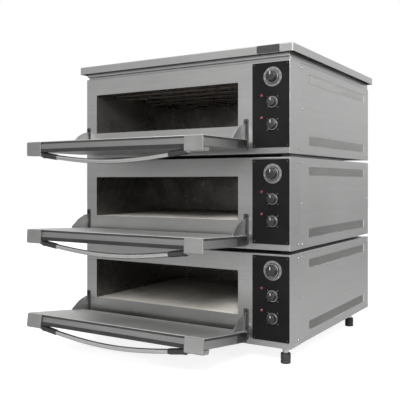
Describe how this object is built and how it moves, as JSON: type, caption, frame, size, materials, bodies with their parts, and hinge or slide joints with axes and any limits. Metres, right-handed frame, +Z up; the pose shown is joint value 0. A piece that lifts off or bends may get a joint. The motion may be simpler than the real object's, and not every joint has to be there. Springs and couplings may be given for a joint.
{
  "type": "deck oven",
  "caption": "Stacked electric baking decks in brushed steel, each with a drop-down door on hinge arms, a bowed bar handle and a black control panel, on short feet.",
  "frame": {"origin": "on the floor, at the middle of the bounding box with the doors open", "axes": "+Z up, +X to the right of someone who faces the oven, the front faces -Y"},
  "size_m": [1.02, 1.3064, 1.188],
  "materials": {
    "stainless": "satin brushed",
    "galvanised": "dull rolled sheet",
    "chamber_steel": "dark, heat stained",
    "refractory": "matte, porous",
    "glass_wool": "fibrous matte",
    "element": "dark oxidised tube",
    "black_panel": "satin black",
    "black_plastic": "satin moulded",
    "rubber": "matte",
    "name_plate": "gloss black, blank"
  },
  "bodies": {
    "casing": {"lower_front_frame": "stainless", "lower_left_side_cover": "stainless", "lower_right_side_cover": "stainless", "lower_back_cover": "galvanised", "lower_base_tray": "galvanised", "lower_top_cover": "galvanised", "lower_chamber_liner": "chamber_steel", "lower_insulation": "glass_wool", "lower_baking_stone": "refractory", "lower_top_heating_element": "element", "lower_bottom_heating_element": "element", "lower_control_panel": "black_panel", "middle_front_frame": "stainless", "middle_left_side_cover": "stainless", "middle_right_side_cover": "stainless", "middle_back_cover": "galvanised", "middle_base_tray": "galvanised", "middle_top_cover": "galvanised", "middle_chamber_liner": "chamber_steel", "middle_insulation": "glass_wool", "middle_baking_stone": "refractory", "middle_top_heating_element": "element", "middle_bottom_heating_element": "element", "middle_control_panel": "black_panel", "upper_front_frame": "stainless", "upper_left_side_cover": "stainless", "upper_right_side_cover": "stainless", "upper_back_cover": "galvanised", "upper_base_tray": "galvanised", "upper_top_cover": "galvanised", "upper_chamber_liner": "chamber_steel", "upper_insulation": "glass_wool", "upper_baking_stone": "refractory", "upper_top_heating_element": "element", "upper_bottom_heating_element": "element", "upper_control_panel": "black_panel", "front_left_foot": "rubber", "front_right_foot": "rubber", "rear_left_foot": "rubber", "rear_right_foot": "rubber", "roof_cap": "stainless", "name_plate": "name_plate"},
    "lower_door_assembly": {"lower_door": "stainless", "lower_door_handle": "stainless", "lower_door_hinge": "galvanised"},
    "lower_thermostat_control": {"lower_thermostat_knob": "black_plastic"},
    "lower_top_heat_control": {"lower_top_heat_knob": "black_plastic"},
    "lower_bottom_heat_control": {"lower_bottom_heat_knob": "black_plastic"},
    "middle_door_assembly": {"middle_door": "stainless", "middle_door_handle": "stainless", "middle_door_hinge": "galvanised"},
    "middle_thermostat_control": {"middle_thermostat_knob": "black_plastic"},
    "middle_top_heat_control": {"middle_top_heat_knob": "black_plastic"},
    "middle_bottom_heat_control": {"middle_bottom_heat_knob": "black_plastic"},
    "upper_door_assembly": {"upper_door": "stainless", "upper_door_handle": "stainless", "upper_door_hinge": "galvanised"},
    "upper_thermostat_control": {"upper_thermostat_knob": "black_plastic"},
    "upper_top_heat_control": {"upper_top_heat_knob": "black_plastic"},
    "upper_bottom_heat_control": {"upper_bottom_heat_knob": "black_plastic"}
  },
  "joints": [
    {"name": "lower_door_swing", "type": "hinge", "parent": "casing", "child": "lower_door_assembly", "pos_m": [0, -0.31779, 0.099], "axis": [-1, 0, 0], "range_deg": [0, 83]},
    {"name": "lower_thermostat_turn", "type": "hinge", "parent": "casing", "child": "lower_thermostat_control", "pos_m": [0.421, -0.29679, 0.351], "axis": [0, 1, 0], "range_deg": [0, 270]},
    {"name": "lower_top_heat_turn", "type": "hinge", "parent": "casing", "child": "lower_top_heat_control", "pos_m": [0.421, -0.29679, 0.257], "axis": [0, 1, 0], "range_deg": [0, 270]},
    {"name": "lower_bottom_heat_turn", "type": "hinge", "parent": "casing", "child": "lower_bottom_heat_control", "pos_m": [0.421, -0.29679, 0.174], "axis": [0, 1, 0], "range_deg": [0, 270]},
    {"name": "middle_door_swing", "type": "hinge", "parent": "casing", "child": "middle_door_assembly", "pos_m": [0, -0.31779, 0.459], "axis": [-1, 0, 0], "range_deg": [0, 87.5]},
    {"name": "middle_thermostat_turn", "type": "hinge", "parent": "casing", "child": "middle_thermostat_control", "pos_m": [0.421, -0.29679, 0.711], "axis": [0, 1, 0], "range_deg": [0, 270]},
    {"name": "middle_top_heat_turn", "type": "hinge", "parent": "casing", "child": "middle_top_heat_control", "pos_m": [0.421, -0.29679, 0.617], "axis": [0, 1, 0], "range_deg": [0, 270]},
    {"name": "middle_bottom_heat_turn", "type": "hinge", "parent": "casing", "child": "middle_bottom_heat_control", "pos_m": [0.421, -0.29679, 0.534], "axis": [0, 1, 0], "range_deg": [0, 270]},
    {"name": "upper_door_swing", "type": "hinge", "parent": "casing", "child": "upper_door_assembly", "pos_m": [0, -0.31779, 0.819], "axis": [-1, 0, 0], "range_deg": [0, 90]},
    {"name": "upper_thermostat_turn", "type": "hinge", "parent": "casing", "child": "upper_thermostat_control", "pos_m": [0.421, -0.29679, 1.071], "axis": [0, 1, 0], "range_deg": [0, 270]},
    {"name": "upper_top_heat_turn", "type": "hinge", "parent": "casing", "child": "upper_top_heat_control", "pos_m": [0.421, -0.29679, 0.977], "axis": [0, 1, 0], "range_deg": [0, 270]},
    {"name": "upper_bottom_heat_turn", "type": "hinge", "parent": "casing", "child": "upper_bottom_heat_control", "pos_m": [0.421, -0.29679, 0.894], "axis": [0, 1, 0], "range_deg": [0, 270]}
  ]
}
